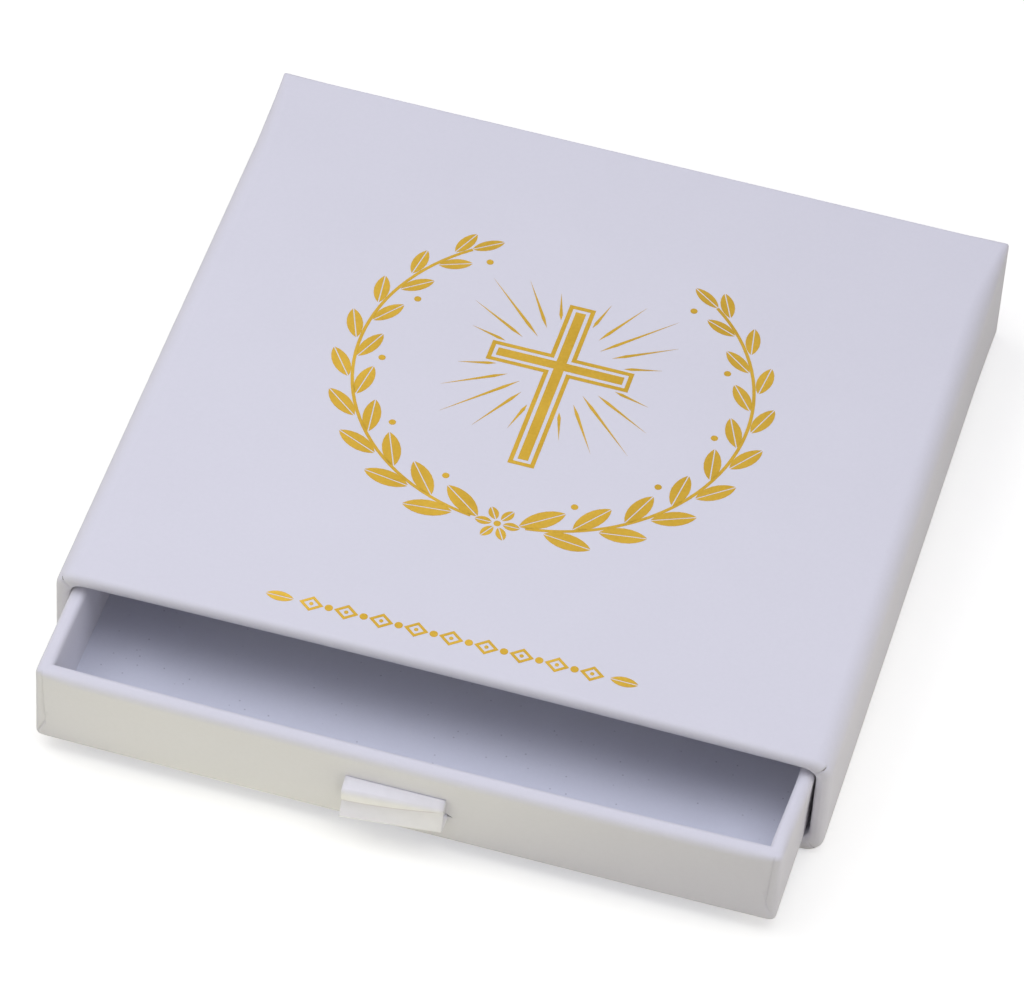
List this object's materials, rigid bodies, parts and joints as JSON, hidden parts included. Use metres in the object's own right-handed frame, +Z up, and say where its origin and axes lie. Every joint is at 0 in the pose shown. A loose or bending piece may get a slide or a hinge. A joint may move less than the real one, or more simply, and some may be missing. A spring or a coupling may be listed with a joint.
{
  "type": "sliding keepsake box",
  "caption": "Flat square paper-covered keepsake box: a board sleeve closed at the back, with a shallow tray that slides out of its front by a satin ribbon pull.",
  "frame": {"origin": "middle of the flat face under the sleeve, which the box rests on", "axes": "+Z up through the lid face, -Y out of the open end, the way the tray slides out, +X to the right as seen from the open end"},
  "size_m": [0.095, 0.105, 0.0162],
  "materials": {
    "wrap_paper": "matt white wrapping paper with a fine pressed grain",
    "base_paper": "matt white paper",
    "lining_paper": "matt white paper",
    "greyboard": "raw grey pasteboard",
    "stay_tape": "gummed paper tape",
    "satin_ribbon": "white satin weave"
  },
  "bodies": {
    "sleeve": {"sleeve_board": "greyboard", "sleeve_back_board": "greyboard", "sleeve_seam_tape": "stay_tape", "sleeve_wrap": "wrap_paper", "sleeve_base_sheet": "base_paper", "sleeve_lining": "lining_paper"},
    "tray": {"tray_board": "greyboard", "tray_corner_stay_front_left": "stay_tape", "tray_corner_stay_front_right": "stay_tape", "tray_corner_stay_back_left": "stay_tape", "tray_corner_stay_back_right": "stay_tape", "tray_wrap": "wrap_paper", "tray_floor_sheet": "lining_paper", "pull_ribbon": "satin_ribbon"}
  },
  "joints": [
    {"name": "tray_slide", "type": "slide", "parent": "sleeve", "child": "tray", "axis": [0, -1, 0], "range_m": [-0.013, 0.0749]}
  ]
}
